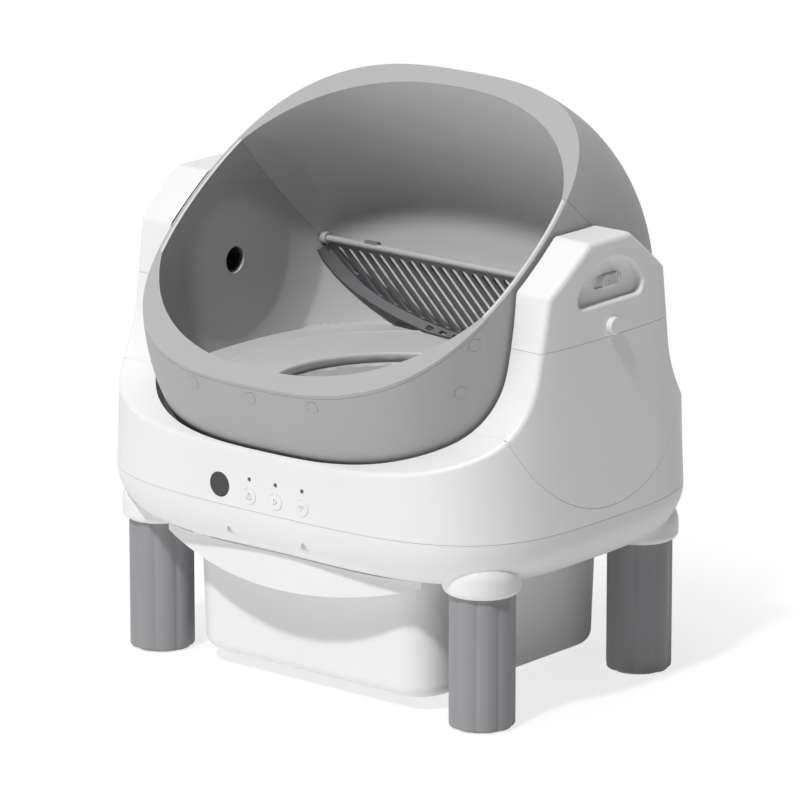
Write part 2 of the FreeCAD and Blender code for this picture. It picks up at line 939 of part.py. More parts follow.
def base_shell(body, hollow):
    """The upper half of the base: deck, trough for the drum, seats for the arms, control panel."""
    seats = [arm_seat(), mirror_x(arm_seat())]
    seat_walls = [arm_seat(shell_wall), mirror_x(arm_seat(shell_wall))]
    shell = body.cut(seats).cut(hollow.cut(seat_walls))
    join_z = seam_z + seam_gap
    floor_z = pan_bottom_z + shell_wall
    low = box(-big, big, -big, big, 0, join_z)
    trough = cavity(shell_wall).common(low).cut([cavity(), chute_block(0, 0, join_z)])
    collar = chute_block(collar_wall, floor_z, join_z).cut([chute_block(0, floor_z, join_z), cavity()])
    front = -body_half_depth
    posts = []
    post_foot = front + shell_wall - hidden_overlap
    for x, z in board_screw_spots():
        posts.append(along_y(x, z, board_post_radius, post_foot, -board_front_y))
    for x, y in pan_screw_spots():
        post = rod(
            Vector(x, y, join_z),
            Vector(x, y, screw_boss_top_z),
            pan_screw_pocket_radius + screw_boss_wall,
        )
        posts.append(post)
    shell = fuse(shell, trough, collar, *posts)
    holes = []
    hole_back = -panel_hole_back_y
    wall_back = front + shell_wall
    window_pocket = window_radius + button_flange + panel_fit
    button_pocket = button_radius + button_flange + button_clearance
    holes.append(along_y(window_x, window_z, window_pocket, wall_back, hole_back))
    for x in button_places():
        holes.append(along_y(x, button_z, button_pocket, wall_back, hole_back))
        holes.append(along_y(x, button_z, button_radius + button_clearance, -big, hole_back))
        holes.append(along_y(x, light_z, light_radius + panel_fit, -big, hole_back))
    holes.append(along_y(window_x, window_z, window_radius + panel_fit, -big, hole_back))
    holes.append(along_y(0, inlet_z, inlet_radius, board_front_y, big))
    for x, y in pan_screw_spots():
        tip = Vector(x, y, screw_boss_top_z - screw_tip_gap)
        holes.append(rod(Vector(x, y, 0), tip, screw_shank_radius))
    for x, z in board_screw_spots():
        start = -board_front_y - board_screw_depth
        holes.append(along_y(x, z, screw_shank_radius, start, -board_front_y))
    return shell.cut(holes)


def pan_bowl(inset):
    """The round-edged lower housing as a solid, or one a wall further in."""
    steps = 7
    height = seam_z - pan_bottom_z - inset
    loops = []
    for i in range(steps):
        angle = math.pi / 2 * i / (steps - 1)
        draw = pan_curve_depth * (1 - math.cos(angle)) + inset
        z = seam_z - height * math.sin(angle)
        loops.append(plan_loop(seam_half_width - draw, body_half_depth - draw, z))
    return Part.makeLoft(loops, True, False)


def leg_places():
    """The centres of the four legs by name."""
    return {
        "leg_front_left": (-leg_x, -leg_y),
        "leg_front_right": (leg_x, -leg_y),
        "leg_rear_left": (-leg_x, leg_y),
        "leg_rear_right": (leg_x, leg_y),
    }


def leg_socket():
    """A round boss under one corner, domed above, as a solid on the line of the leg."""
    boss = Part.makeCylinder(
        socket_radius, socket_top_z - socket_bottom_z, Vector(0, 0, socket_bottom_z)
    )
    rims = [edge for edge in boss.Edges if len(edge.Vertexes) == 1]
    low = [edge for edge in rims if edge.CenterOfMass.z < socket_bottom_z + hidden_overlap]
    boss = boss.makeFillet(socket_edge_round, low)
    rims = [edge for edge in boss.Edges if len(edge.Vertexes) == 1]
    high = [edge for edge in rims if edge.CenterOfMass.z > socket_top_z - hidden_overlap]
    return boss.makeFillet(socket_dome_round, high)


def base_pan():
    """The lower half of the base: round-edged housing with the chute and the leg sockets."""
    pan = pan_bowl(0).cut(pan_bowl(shell_wall))
    parts = []
    for x, y in leg_places().values():
        boss = leg_socket()
        boss.translate(Vector(x, y, 0))
        parts.append(boss)
    for x, y in pan_screw_spots():
        tower = rod(
            Vector(x, y, pan_bottom_z),
            Vector(x, y, seam_z),
            pan_screw_pocket_radius + screw_boss_wall,
        )
        parts.append(tower.common(pan_bowl(hidden_overlap)))
    pan = fuse(pan, *parts)
    holes = [chute_block(0, 0, pan_bottom_z + spare)]
    bore = leg_spigot_radius + socket_clearance
    for x, y in leg_places().values():
        holes.append(rod(Vector(x, y, 0), Vector(x, y, leg_spigot_top_z + socket_clearance), bore))
    for x, y in pan_screw_spots():
        holes.append(rod(Vector(x, y, 0), Vector(x, y, pan_screw_seat_z), pan_screw_pocket_radius))
        holes.append(rod(Vector(x, y, 0), Vector(x, y, seam_z), screw_shank_radius))
    return pan.cut(holes)


def pan_screws():
    """The four long-reach screws between the halves of the base."""
    screws = []
    for x, y in pan_screw_spots():
        head = rod(
            Vector(x, y, pan_screw_seat_z - screw_head_height),
            Vector(x, y, pan_screw_seat_z),
            pan_screw_pocket_radius - socket_clearance,
        )
        shank = rod(
            Vector(x, y, pan_screw_seat_z - hidden_overlap),
            Vector(x, y, screw_boss_top_z - 2 * screw_tip_gap),
            screw_shank_radius - running_clearance,
        )
        screws.append(fuse(head, shank))
    return group(screws)


def saddle():
    """The boss that holds the bush on the right side, before it is halved."""
    x0 = cavity_side_x + shell_wall - hidden_overlap
    x1 = cavity_side_x + shell_wall + seam_gap + bush_length
    bore = shaft_radius + 2 * running_clearance + bush_wall
    return shaft_line(bore + saddle_wall, x0, x1)


def shaft_room():
    """The bores that the stub axle and its bush need in arm and cap, on the right side."""
    through = shaft_line(shaft_radius + shaft_wall_clearance, 0, big)
    bore = shaft_radius + 2 * running_clearance + bush_wall
    x0 = cavity_side_x + shell_wall + seam_gap
    seat = shaft_line(bore, x0 - seam_gap, x0 + bush_length + hidden_overlap)
    reach = box(0, shaft_end_x + shaft_end_clearance, -big, big, 0, 2 * big)
    return through.common(reach).fuse(seat)


def arm_right(body, hollow):
    """The lower part of the right tower: it stands in the base and holds the lower half bearing."""
    lower = box(0, big, -big, big, 0, drum_axis_z - seam_gap / 2)
    room = hollow.common(arm_seat(-seam_gap - shell_wall))
    arm = body.common(arm_seat(-seam_gap)).common(lower).cut(room)
    return fuse(arm, saddle().common(lower)).cut(shaft_room())


def grip_outline(outset, x):
    """The D-shaped outline of the grip recess: flat below, arched above."""
    half = grip_half_length + outset
    low = grip_bottom_z - outset
    corner = grip_corner + outset
    side = grip_side_z
    top = grip_top_z + outset
    ease = corner * (1 - math.sqrt(0.5))
    edges = [
        Part.makeLine(Vector(x, grip_y - half + corner, low), Vector(x, grip_y + half - corner, low)),
        Part.Arc(
            Vector(x, grip_y + half - corner, low),
            Vector(x, grip_y + half - ease, low + ease),
            Vector(x, grip_y + half, low + corner),
        ).toShape(),
        Part.makeLine(Vector(x, grip_y + half, low + corner), Vector(x, grip_y + half, side)),
        Part.Arc(
            Vector(x, grip_y + half, side), Vector(x, grip_y, top), Vector(x, grip_y - half, side)
        ).toShape(),
        Part.makeLine(Vector(x, grip_y - half, side), Vector(x, grip_y - half, low + corner)),
        Part.Arc(
            Vector(x, grip_y - half, low + corner),
            Vector(x, grip_y - half + ease, low + ease),
            Vector(x, grip_y - half + corner, low),
        ).toShape(),
    ]
    return Part.Face(Part.Wire(edges))


def grip_rim(cap):
    """The outer edges of the grip recess."""
    rim = []
    for edge in cap.Edges:
        bounds = edge.BoundBox
        inside = grip_bottom_z - 1 < bounds.ZMin and bounds.ZMax < grip_top_z + 1
        inside = inside and abs(edge.CenterOfMass.y - grip_y) < grip_half_length + 1
        if inside and bounds.XMin > arm_half_width - grip_depth / 2:
            rim.append(edge)
    return rim


def grip_floor_x():
    """Where the floor of the grip recess lies."""
    return arm_half_width - grip_depth


def round_bar(length, height, x0, x1):
    """A bar with rounded ends, its length along Y, centred on the latch's height."""
    corners = [(-length / 2, -height / 2), (length / 2, -height / 2)]
    corners += [(length / 2, height / 2), (-length / 2, height / 2)]
    outline = rounded_outline(
        corners,
        [height / 2 - latch_corner_flat] * 4,
        lambda u, v: Vector(x0, latch_y + u, latch_z + v),
    )
    return Part.Face(outline).extrude(Vector(x1 - x0, 0, 0))


def cap_right(body, hollow):
    """The upper part of the right tower: a lift-off cap with grip recess and upper half bearing."""
    upper = box(0, big, -big, big, drum_axis_z + seam_gap / 2, big * 2)
    block = body.common(upper)
    back = grip_floor_x() - grip_wall
    tray = grip_outline(grip_wall, back).extrude(Vector(big, 0, 0)).common(block)
    cap = fuse(block.cut(hollow), tray, saddle().common(upper))
    cap = cap.cut(grip_outline(0, grip_floor_x()).extrude(Vector(big, 0, 0)))
    cap = cap.makeFillet(grip_edge_round, grip_rim(cap))
    slot = round_bar(
        latch_length + latch_travel + 2 * latch_clearance,
        latch_height + 2 * latch_clearance,
        back - hidden_overlap,
        big,
    )
    release = rod(
        Vector(arm_half_width - 2 * shell_wall, release_y, release_z),
        Vector(big, release_y, release_z),
        release_radius + release_clearance,
    )
    return cap.cut([slot, release, shaft_room()])


def latch_right():
    """The ribbed slider in the grip: pushed forward, it frees the cap."""
    back = grip_floor_x() - grip_wall
    front = grip_floor_x() + latch_proud
    rear = latch_travel / 2
    body = round_bar(latch_length, latch_height, back - latch_clearance, front)
    body.translate(Vector(0, rear, 0))
    face = round_bar_face(rear)
    floor_x = front - latch_groove_depth
    half = latch_groove_width / 2
    for i in range(latch_grooves):
        y = latch_y + rear + (i - (latch_grooves - 1) / 2) * latch_groove_pitch
        body = body.cut(box(floor_x, big, y - half, y + half, 0, 2 * big).common(face))
    plate_x = back - latch_clearance
    half = latch_length / 2 + latch_travel + latch_plate_margin
    plate = box(
        plate_x - latch_plate_thickness,
        plate_x,
        latch_y + rear - half,
        latch_y + rear + half,
        latch_z - latch_height / 2 - latch_plate_margin,
        latch_z + latch_height / 2 + latch_plate_margin,
    )
    return fuse(body, plate)


def round_bar_face(shift):
    """The part of the slider's face that carries its grooves."""
    margin = 2 * latch_groove_margin
    inner = round_bar(latch_length - margin, latch_height - margin, grip_floor_x(), big)
    inner.translate(Vector(0, shift, 0))
    return inner


def release_right():
    """The round button just above the cap's joint: pressed in, it lets the cap go."""
    inner_face = arm_half_width - shell_wall
    stem = rod(
        Vector(inner_face - release_clearance - release_flange, release_y, release_z),
        Vector(arm_half_width + release_proud, release_y, release_z),
        release_radius,
    )
    rounds = [edge for edge in stem.Edges if len(edge.Vertexes) == 1]
    rim = [edge for edge in rounds if edge.CenterOfMass.x > arm_half_width]
    stem = stem.makeFillet(release_edge_round, rim)
    flange = rod(
        Vector(inner_face - release_clearance - release_flange, release_y, release_z),
        Vector(inner_face - release_clearance, release_y, release_z),
        release_radius + release_flange - release_clearance,
    )
    return fuse(stem, flange)


def lobed_outline(radius, z):
    """The outline of a leg: equal shallow lobes that meet in creases."""
    edges = []
    step = 2 * math.pi / leg_lobes
    for i in range(leg_lobes):
        angle = math.radians(leg_turn - 90) + i * step
        points = []
        for share, reach in ((0, radius - leg_crease), (0.5, radius), (1, radius - leg_crease)):
            turn = angle + share * step
            points.append(Vector(reach * math.cos(turn), reach * math.sin(turn), z))
        edges.append(Part.Arc(*points).toShape())
    return Part.Wire(edges)


def leg():
    """One lobed leg with the spigot that plugs into its socket, hollow from below."""
    column = Part.Face(lobed_outline(leg_radius, foot_pad_proud)).extrude(
        Vector(0, 0, socket_bottom_z - foot_pad_proud)
    )
    low = [edge for edge in column.Edges if edge.BoundBox.ZMax < foot_pad_thickness]
    column = column.makeFillet(leg_edge_round, low)
    spigot_foot = Vector(0, 0, socket_bottom_z - hidden_overlap)
    spigot = rod(spigot_foot, Vector(0, 0, leg_spigot_top_z), leg_spigot_radius)
    pad_top = foot_pad_thickness
    pad_room = rod(Vector(0, 0, 0), Vector(0, 0, pad_top), foot_pad_radius + foot_pad_clearance)
    core = rod(Vector(0, 0, 0), Vector(0, 0, socket_bottom_z - leg_top_wall), leg_bore_radius)
    return fuse(column, spigot).cut([pad_room, core])


def foot_pads():
    """The four soft pads under the legs."""
    pads = []
    for x, y in leg_places().values():
        pads.append(rod(Vector(x, y, 0), Vector(x, y, foot_pad_thickness), foot_pad_radius))
    return group(pads)


def button(x):
    """One push button of the panel: a cap, a flange that keeps it in, and a stem to its switch."""
    face_y = -body_half_depth - button_proud
    wall_y = -body_half_depth + shell_wall
    flange_y = wall_y + button_clearance
    cap = along_y(x, button_z, button_radius, face_y, flange_y + hidden_overlap / 2)
    rounds = [edge for edge in cap.Edges if len(edge.Vertexes) == 1]
    rim = [edge for edge in rounds if edge.CenterOfMass.y < wall_y - hidden_overlap]
    cap = cap.makeFillet(button_edge_round, rim)
    flange = along_y(
        x, button_z, button_radius + button_flange, flange_y, flange_y + button_flange_thickness
    )
    stem_end = -board_front_y - switch_height - button_travel - button_stem_gap
    stem = along_y(x, button_z, button_stem_radius, flange_y, stem_end)
    return fuse(cap, flange, stem)


def sensor_window():
    """The round dark window of the sensor beside the buttons."""
    wall_y = -body_half_depth + shell_wall
    lens = along_y(window_x, window_z, window_radius, -body_half_depth + window_recess, wall_y)
    flange_radius = window_radius + button_flange
    flange = along_y(window_x, window_z, flange_radius, wall_y, wall_y + button_flange_thickness)
    return fuse(lens, flange)


def status_lights():
    """The three light guides above the buttons."""
    guides = []
    for x in button_places():
        start = -body_half_depth + light_recess
        guides.append(along_y(x, light_z, light_radius, start, -board_front_y - panel_fit))
    return group(guides)


def control_board():
    """The circuit board behind the panel."""
    back = -board_front_y + board_thickness
    board = box(board_x0, board_x1, -board_front_y, back, board_z0, board_z1)
    holes = []
    for x, z in board_screw_spots():
        holes.append(along_y(x, z, screw_shank_radius, -board_front_y - spare, back + spare))
    return board.cut(holes)


def board_screws():
    """The four small screws of the circuit board."""
    screws = []
    back = -board_front_y + board_thickness
    tip = -board_front_y - board_screw_length
    for x, z in board_screw_spots():
        shank = along_y(x, z, screw_shank_radius - running_clearance, tip, back + hidden_overlap)
        head = along_y(x, z, board_screw_head_radius, back, back + screw_head_height)
        screws.append(fuse(shank, head))
    return group(screws)


def tact_switches():
    """The three small switches that the buttons press."""
    switches = []
    for x in button_places():
        top_y = -board_front_y - switch_height
        body = box(
            x - switch_half,
            x + switch_half,
            top_y + switch_plunger_height,
            -board_front_y,
            button_z - switch_half,
            button_z + switch_half,
        )
        plunger = along_y(x, button_z, switch_plunger_radius, top_y, top_y + hidden_overlap)
        switches.append(fuse(body, plunger))
    return group(switches)


def power_socket():
    """The low-voltage inlet in the middle of the rear wall."""
    wall_y = body_half_depth - shell_wall
    body = box(
        -socket_half_x,
        socket_half_x,
        wall_y - socket_depth,
        wall_y,
        inlet_z - socket_half_z,
        inlet_z + socket_half_z,
    )
    floor_y = wall_y - socket_depth + inlet_floor
    body = body.cut(along_y(0, inlet_z, inlet_radius, floor_y, wall_y + hidden_overlap))
    pin = along_y(0, inlet_z, inlet_pin_radius, floor_y - hidden_overlap, wall_y - hidden_overlap)
    return fuse(body, pin)


def chute_seal():
    """The soft ring under the chute that closes the gap above the drawer."""
    z0 = drawer_top_z + seal_gap
    return chute_block(seal_width, z0, pan_bottom_z).cut(chute_block(0, z0, pan_bottom_z))


def runner_right():
    """The right drawer runner: a channel under the housing."""
    inner = drawer_half_x + drawer_flare + drawer_flange
    wall_x = inner + runner_clearance * 2
    ledge_top = drawer_top_z - drawer_flange_thickness - runner_clearance
    outer = box(
        inner - runner_ledge,
        wall_x + runner_wall,
        -runner_half_y,
        runner_half_y,
        ledge_top - runner_wall,
        pan_bottom_z,
    )
    slot = box(0, wall_x, -big, big, ledge_top, drawer_top_z + runner_clearance)
    return outer.cut(slot)


def drawer_loop(inset, z):
    """The drawer's outline at a height; it widens a little upwards."""
    share = (z - drawer_bottom_z) / (drawer_top_z - drawer_bottom_z)
    grow = drawer_flare * share - inset
    return rounded_rectangle(drawer_half_x + grow, drawer_half_y + grow, drawer_corner - inset, z)


def drawer_block(inset, z0, z1, low_round):
    """The drawer as a solid, with its bottom edge rounded."""
    block = Part.makeLoft([drawer_loop(inset, z0), drawer_loop(inset, z1)], True, True)
    low = [edge for edge in block.Edges if edge.BoundBox.ZMax < z0 + hidden_overlap]
    return block.makeFillet(low_round, low)


def waste_drawer():
    """The waste drawer: a deep tray with side flanges and a curved pull at the front."""
    outer = drawer_block(0, drawer_bottom_z, drawer_top_z, drawer_edge_round)
    inner = drawer_block(
        drawer_wall,
        drawer_bottom_z + drawer_wall,
        drawer_top_z + hidden_overlap,
        drawer_edge_round - drawer_wall,
    )
    flange_x = drawer_half_x + drawer_flare + drawer_flange
    under = drawer_top_z - drawer_flange_thickness
    top = drawer_top_z
    flange = box(-flange_x, flange_x, -drawer_flange_half_y, drawer_flange_half_y, under, top)
    web = box(-drawer_web_half, drawer_web_half, -drawer_lip_y, -drawer_half_y, under, top)
    bow = drawer_lip_cylinder(0)
    lip = bow.cut(drawer_lip_cylinder(drawer_lip_wall)).common(drawer_lip_room())
    return fuse(outer, flange, web.common(bow), lip).cut(inner)


def drawer_lip_cylinder(inset):
    """The upright cylinder whose front is the drawer's bowed pull."""
    radius = drawer_lip_bow - inset
    return rod(
        Vector(0, drawer_lip_bow - drawer_lip_y, 0),
        Vector(0, drawer_lip_bow - drawer_lip_y, seam_z),
        radius,
    )


def drawer_lip_room():
    """The front space of the pull: arched below, and just under the housing's belly above."""
    middle_z = drawer_lip_low_z + drawer_lip_curve
    front = box(-drawer_lip_half, drawer_lip_half, -body_half_depth, -drawer_half_y, 0, seam_z)
    arch = rod(Vector(0, -big, middle_z), Vector(0, 0, middle_z), drawer_lip_curve)
    return front.common(arch).cut(pan_bowl(-drawer_lip_gap))


def hub_screw_group():
    """The screws that hold both hub flanges to the drum."""
    screws = []
    for place in hub_screw_places():
        outer = place + Vector(hub_flange_thickness, 0, 0)
        start = place + Vector(hub_screw_gap, 0, 0)
        shank = rod(start, outer, screw_shank_radius - running_clearance)
        screws.append(shank)
        screws.append(mirror_x(shank))
    return group(screws)


os.makedirs("parts", exist_ok=True)

save("drum_bowl", drum_bowl())
save("drum_liner", drum_liner())
save("drum_hood", drum_hood())
save("rim_trim", rim_trim())
save("screw_covers", screw_covers())
save("bed_mat", bed_mat())
save("sieve_grille", sieve_grille())
save("trunnion_right", trunnion(1))
save("trunnion_left", trunnion(-1))
save("hub_screws", hub_screw_group())
save("bush_right", bush(1))
save("bush_left", bush(-1))
save("drum_gear", drum_gear())
save("pinion", pinion())
save("gearbox", gearbox())
save("gear_motor", gear_motor())

body = white_body()
hollow = white_body(shell_wall)
save("base_shell", base_shell(body, hollow))
save("base_pan", base_pan())
save("pan_screws", pan_screws())
arm = arm_right(body, hollow)
save("arm_right", arm)
save("arm_left", mirror_x(arm))
cap = cap_right(body, hollow)
save("cap_right", cap)
save("cap_left", mirror_x(cap))
latch = latch_right()
save("latch_right", latch)
save("latch_left", mirror_x(latch))
release = release_right()
save("release_right", release)
save("release_left", mirror_x(release))

for name, spot in leg_places().items():
    one = leg()
    one.translate(Vector(spot[0], spot[1], 0))
    save(name, one)
save("foot_pads", foot_pads())

for name, x in zip(("button_bin", "button_play", "button_wireless"), button_places()):
    save(name, button(x))
save("sensor_window", sensor_window())
save("status_lights", status_lights())
save("control_board", control_board())
save("board_screws", board_screws())
save("tact_switches", tact_switches())
save("power_socket", power_socket())

save("waste_drawer", waste_drawer())
save("chute_seal", chute_seal())
runner = runner_right()
save("runner_right", runner)
save("runner_left", mirror_x(runner))
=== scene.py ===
# %% [markdown]
# A self-cleaning litter box: a grey drum that turns between two white arms, over a pan, a drawer
# and four ribbed legs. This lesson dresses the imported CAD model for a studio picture.

# %% Load the frame
import json
import math

import bmesh
import bpy
import numpy as np
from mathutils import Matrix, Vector
from mathutils.bvhtree import BVHTree


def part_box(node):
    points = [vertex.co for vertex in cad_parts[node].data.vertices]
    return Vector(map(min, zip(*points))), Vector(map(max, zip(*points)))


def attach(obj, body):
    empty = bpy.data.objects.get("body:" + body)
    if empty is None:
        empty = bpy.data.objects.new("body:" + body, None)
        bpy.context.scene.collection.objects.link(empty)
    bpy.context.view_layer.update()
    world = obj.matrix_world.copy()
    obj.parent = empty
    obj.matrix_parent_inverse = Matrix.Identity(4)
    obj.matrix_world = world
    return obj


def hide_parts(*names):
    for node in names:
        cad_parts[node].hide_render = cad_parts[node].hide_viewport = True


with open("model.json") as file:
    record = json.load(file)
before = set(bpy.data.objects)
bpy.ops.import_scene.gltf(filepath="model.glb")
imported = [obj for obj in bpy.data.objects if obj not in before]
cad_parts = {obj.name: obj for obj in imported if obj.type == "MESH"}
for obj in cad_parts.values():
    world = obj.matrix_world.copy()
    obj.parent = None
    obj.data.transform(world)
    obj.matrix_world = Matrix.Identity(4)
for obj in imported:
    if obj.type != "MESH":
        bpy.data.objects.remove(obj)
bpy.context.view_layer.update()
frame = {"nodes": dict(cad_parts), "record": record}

# %% [markdown]
# A studio photograph of moulded plastic is mostly its light. The shadows in this one fall back
# and down, nearly along the side faces, so the key light is a sun from the front and above. A
# wide light hangs overhead. A third comes from below in front, a little to the left, as from a
# white table: it climbs up the inside of the hood and leaves the inner wall on the left dark. A
# weak one from the right lifts the side. Each is a sun with its direction, its strength and the
# angle that it fills, and the floor lets their light through.

# %% Light
LIGHTS = {
    "key": ((-0.094, 0.575, -0.813), 2.2, 4),
    "overhead": ((0.12, 0.1, -1.0), 1.1, 60),
    "front": ((0.3, 0.85, 0.28), 1.4, 50),
    "side": ((-0.95, 0.1, 0.3), 0.3, 50),
}
ROOM_LEVEL = 0.03


def add_sun(name, direction, strength, spread):
    """A sun that shines along direction; spread is the angle that its disc fills in the sky."""
    lamp = bpy.data.lights.new(name, "SUN")
    lamp.energy = strength
    lamp.angle = spread
    holder = bpy.data.objects.new(name, lamp)
    holder.rotation_euler = Vector(direction).to_track_quat("-Z", "Y").to_euler()
    bpy.context.scene.collection.objects.link(holder)
    return holder


def white_room(level):
    """An even world of the given level, which the camera, gloss and glass see as plain white."""
    world = bpy.data.worlds.new("room")
    world.use_nodes = True
    nodes, links = world.node_tree.nodes, world.node_tree.links
    background = nodes["Background"]
    background.inputs["Color"].default_value = (1, 1, 1, 1)
    path = nodes.new("ShaderNodeLightPath")
    seen = nodes.new("ShaderNodeMath")
    seen.operation = "MAXIMUM"
    links.new(path.outputs["Is Camera Ray"], seen.inputs[0])
    links.new(path.outputs["Is Transmission Ray"], seen.inputs[1])
    white = nodes.new("ShaderNodeMath")
    white.operation = "MAXIMUM"
    links.new(seen.outputs[0], white.inputs[0])
    links.new(path.outputs["Is Glossy Ray"], white.inputs[1])
    strength = nodes.new("ShaderNodeMapRange")
    strength.inputs["To Min"].default_value = level
    strength.inputs["To Max"].default_value = 1.0
    links.new(white.outputs[0], strength.inputs["Value"])
    links.new(strength.outputs[0], background.inputs["Strength"])
    bpy.context.scene.world = world


suns = [
    add_sun(name, direction, strength, math.radians(spread))
    for name, (direction, strength, spread) in LIGHTS.items()
]
white_room(ROOM_LEVEL)
bpy.context.scene.view_settings.view_transform = "Standard"
for sun in suns:
    print(sun.name, "shines along", [round(-v, 3) for v in sun.rotation_euler.to_matrix().col[2]])

# %% [markdown]
# The camera stands 40 degrees round to the right and 15 degrees up, far off with a long lens, as
# a product photographer works, so the legs stay nearly parallel.

# %% Camera
CAMERA_TURN = math.radians(39.8633)
CAMERA_RISE = math.radians(15.0455)
CAMERA_PLACE = (3.95873, -4.73918, 1.92023)
LENS = 295.11
SEES_TO = 50

camera = bpy.data.objects.new("camera", bpy.data.cameras.new("camera"))
camera.data.lens = LENS
camera.data.clip_end = SEES_TO
camera.location = CAMERA_PLACE
camera.rotation_euler = (math.pi / 2 - CAMERA_RISE, 0, CAMERA_TURN)
bpy.context.scene.collection.objects.link(camera)
bpy.context.scene.camera = camera

# %% [markdown]
# The floor catches the shadow. It is a plain disc under a white veil that only the camera sees,
# which keeps the shadow faint, and it fades out to nothing, so that it has no edge against the
# white room. A node tree does this from the distance to the middle.

# %% Floor
FLOOR_RADIUS = 6.0
FADE_FROM, FADE_TO = 0.24, 0.56
FLOOR_COLOUR = (0.75, 0.75, 0.75, 1)
VEIL, VEIL_LEVEL = 0.65, 1.18


def floor_disc(radius, sides=96):
    """A flat disc: sides points on a circle of the given radius, at height zero."""
    turn = np.linspace(0, 2 * np.pi, sides, endpoint=False)
    ring = np.column_stack((radius * np.cos(turn), radius * np.sin(turn), np.zeros(sides)))
    mesh = bpy.data.meshes.new("floor")
    mesh.from_pydata(ring.tolist(), [], [list(range(sides))])
    return bpy.data.objects.new("floor", mesh)


def floor_finish():
    """A matt floor that light passes through, veiled for the camera and clear farther out."""
    material = bpy.data.materials.new("floor_finish")
    material.use_nodes = True
    nodes, links = material.node_tree.nodes, material.node_tree.links
    nodes.remove(nodes["Principled BSDF"])
    paint = nodes.new("ShaderNodeBsdfDiffuse")
    paint.inputs["Color"].default_value = FLOOR_COLOUR
    glow = nodes.new("ShaderNodeEmission")
    glow.inputs["Strength"].default_value = VEIL_LEVEL
    clear = nodes.new("ShaderNodeBsdfTransparent")
    place = nodes.new("ShaderNodeTexCoord")
    far = nodes.new("ShaderNodeVectorMath")
    far.operation = "LENGTH"
    fade = nodes.new("ShaderNodeMapRange")
    fade.interpolation_type = "SMOOTHSTEP"
    fade.inputs["From Min"].default_value = FADE_FROM
    fade.inputs["From Max"].default_value = FADE_TO
    path = nodes.new("ShaderNodeLightPath")
    only_seen = nodes.new("ShaderNodeMath")
    only_seen.operation = "MULTIPLY"
    lets_through = nodes.new("ShaderNodeMath")
    lets_through.operation = "MAXIMUM"
    veil = nodes.new("ShaderNodeMath")
    veil.operation = "MULTIPLY"
    veil.inputs[1].default_value = VEIL
    veiled = nodes.new("ShaderNodeMixShader")
    mix = nodes.new("ShaderNodeMixShader")
    links.new(path.outputs["Is Camera Ray"], veil.inputs[0])
    links.new(veil.outputs[0], veiled.inputs["Fac"])
    links.new(paint.outputs[0], veiled.inputs[1])
    links.new(glow.outputs[0], veiled.inputs[2])
    links.new(place.outputs["Object"], far.inputs[0])
    links.new(far.outputs["Value"], fade.inputs["Value"])
    links.new(fade.outputs[0], only_seen.inputs[0])
    links.new(path.outputs["Is Camera Ray"], only_seen.inputs[1])
    links.new(only_seen.outputs[0], lets_through.inputs[0])
    links.new(path.outputs["Is Shadow Ray"], lets_through.inputs[1])
    links.new(lets_through.outputs[0], mix.inputs["Fac"])
    links.new(veiled.outputs[0], mix.inputs[1])
    links.new(clear.outputs[0], mix.inputs[2])
    links.new(mix.outputs[0], nodes["Material Output"].inputs["Surface"])
    return material


floor = floor_disc(FLOOR_RADIUS)
floor.data.materials.append(floor_finish())
bpy.context.scene.collection.objects.link(floor)
print("floor fades from", FADE_FROM, "to", FADE_TO, "m")

# %% [markdown]
# Every outside part is an injection moulding. Such plastic is one colour all through, and what
# the eye reads is its surface: a fine spark-eroded grain, a gloss that wanders a little where
# the tool was polished by hand, and a faint sheen. One function makes them all from a colour,
# a gloss and a grain, and each finish below is one call.

# %% Plastic
DRIFT_SCALE, DRIFT_DETAIL = 9.0, 3.0
GRAIN_DETAIL, GRAIN_STRENGTH = 2.0, 0.35
GLOSS_DRIFT = 0.06


